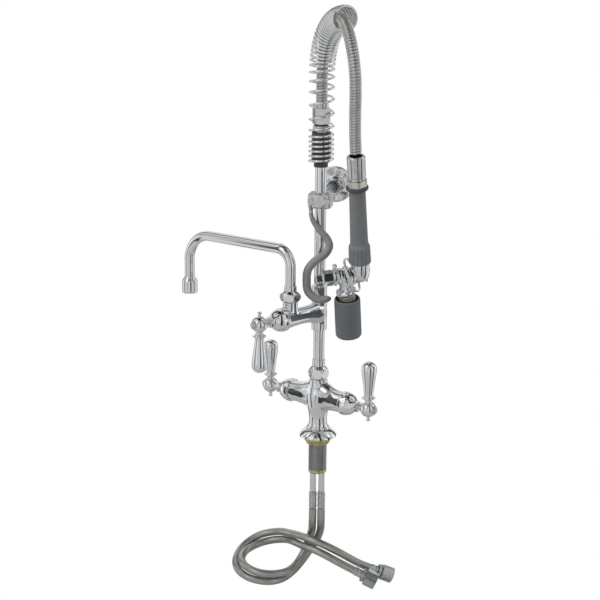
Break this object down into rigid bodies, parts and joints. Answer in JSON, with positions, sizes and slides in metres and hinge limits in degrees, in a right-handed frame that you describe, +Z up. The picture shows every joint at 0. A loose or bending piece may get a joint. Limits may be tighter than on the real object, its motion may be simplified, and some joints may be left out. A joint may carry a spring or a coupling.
{
  "type": "pre-rinse faucet",
  "caption": "Deck-mounted pre-rinse faucet: lever mixing base, swing nozzle with its own valve, spring-held riser hose, squeeze spray valve, wall bracket, hook and braided supply hoses.",
  "frame": {"origin": "riser axis at the underside of the deck flange, that is on the deck's top surface", "axes": "+Z up along the riser; +X towards the cold lever, -X towards the hot lever and the stored swing nozzle; -Y to the front of the base, +Y towards the wall"},
  "size_m": [0.3487, 0.2738, 0.8876],
  "materials": {
    "chrome": "polished chrome plate, lightly water-spotted",
    "satin_steel": "satin, machined or drawn",
    "cast_alloy": "tumbled bright casting, slightly grainy",
    "brass": "plain machined brass",
    "grey_rubber": "matt mid grey, faintly mottled",
    "blue_grey_rubber": "matt blue-grey",
    "grey_coating": "grey vinyl-coated steel rod, satin",
    "dark_polymer": "dark grey, matt"
  },
  "bodies": {
    "faucet": {"deck_flange": "chrome", "base_body": "chrome", "riser_nut": "chrome", "riser_collar": "chrome", "lower_riser": "chrome", "upper_riser": "chrome", "addon_body": "chrome", "nozzle_nut": "chrome", "wall_flange": "chrome", "spring": "chrome", "supply_tube_cold": "chrome", "supply_tube_hot": "chrome", "bonnet_cold": "chrome", "cartridge_cold": "brass", "bonnet_hot": "chrome", "cartridge_hot": "brass", "bonnet_addon": "chrome", "cartridge_addon": "brass", "lock_nut": "brass", "mounting_shank": "satin_steel", "clamp_screw_right": "satin_steel", "clamp_screw_left": "satin_steel", "bracket_rod": "satin_steel", "hose_inlet_nut": "satin_steel", "flexible_hose": "satin_steel", "hose_outlet_nut": "satin_steel", "top_crimp_cold": "satin_steel", "top_crimp_hot": "satin_steel", "supply_hose_cold": "satin_steel", "supply_hose_hot": "satin_steel", "end_crimp_cold": "satin_steel", "end_crimp_hot": "satin_steel", "clamp_front": "cast_alloy", "clamp_back": "cast_alloy", "finger_hook": "grey_coating", "spring_seat": "dark_polymer", "hose_washer": "dark_polymer", "grip": "grey_rubber"},
    "cold_lever": {"stem_cold": "chrome", "lever_cold": "chrome", "index_cold": "satin_steel"},
    "hot_lever": {"stem_hot": "chrome", "lever_hot": "chrome", "index_hot": "satin_steel"},
    "addon_lever": {"stem_addon": "chrome", "lever_addon": "chrome", "index_addon": "satin_steel"},
    "nozzle": {"swing_nozzle": "chrome", "nozzle_ferrule": "chrome", "outlet_tip": "chrome"},
    "spray_valve": {"valve_body": "chrome", "valve_bonnet": "chrome", "lever_pin": "satin_steel", "bumper": "blue_grey_rubber", "spray_face": "brass"},
    "squeeze_lever": {"squeeze_lever": "chrome"},
    "plunger": {"plunger": "satin_steel"},
    "hold_down_ring": {"hold_down_ring": "chrome"},
    "supply_nut_cold": {"supply_nut_cold": "cast_alloy"},
    "supply_nut_hot": {"supply_nut_hot": "cast_alloy"}
  },
  "joints": [
    {"name": "cold_valve_turn", "type": "hinge", "parent": "faucet", "child": "cold_lever", "pos_m": [0.095, 0, 0.061], "axis": [1, 0, 0], "range_deg": [0, 90]},
    {"name": "hot_valve_turn", "type": "hinge", "parent": "faucet", "child": "hot_lever", "pos_m": [-0.095, 0, 0.061], "axis": [1, 0, 0], "range_deg": [0, 90]},
    {"name": "addon_valve_turn", "type": "hinge", "parent": "faucet", "child": "addon_lever", "pos_m": [-0.01729, -0.11571, 0.193], "axis": [-0.1478, -0.989, 0], "range_deg": [0, 90]},
    {"name": "nozzle_swing", "type": "hinge", "parent": "faucet", "child": "nozzle", "pos_m": [-0.00857, -0.05736, 0.2336], "axis": [0, 0, 1], "range_deg": [-65, 115]},
    {"name": "valve_swivel", "type": "hinge", "parent": "faucet", "child": "spray_valve", "pos_m": [0.0821, -0.01, 0.2815], "axis": [0.101, -0.2164, 0.9711], "range_deg": [0, 180]},
    {"name": "lever_squeeze", "type": "hinge", "parent": "spray_valve", "child": "squeeze_lever", "pos_m": [0.06419, 0.011, 0.25612], "axis": [0.6369, 0.7639, 0.104], "range_deg": [0, 6], "stiffness_Nm_per_rad": 2, "springref_deg": -3.44},
    {"name": "plunger_press", "type": "slide", "parent": "spray_valve", "child": "plunger", "axis": [0.7643, -0.608, -0.215], "range_m": [0, 0.0015]},
    {"name": "ring_swing", "type": "hinge", "parent": "spray_valve", "child": "hold_down_ring", "pos_m": [0.06398, -0.00804, 0.26271], "axis": [0.7643, -0.608, -0.215], "range_deg": [0, 10]},
    {"name": "cold_nut_spin", "type": "hinge", "parent": "faucet", "child": "supply_nut_cold", "pos_m": [0.08363, 0.06863, -0.22587], "axis": [0.6529, 0.6529, -0.384], "continuous": true},
    {"name": "hot_nut_spin", "type": "hinge", "parent": "faucet", "child": "supply_nut_hot", "pos_m": [0.0797, 0.03334, -0.22385], "axis": [0.8039, 0.4385, -0.4019], "continuous": true}
  ],
  "couplings": [
    {"joint": "plunger_press", "follows": "lever_squeeze", "m_per_rad": 0.013}
  ]
}
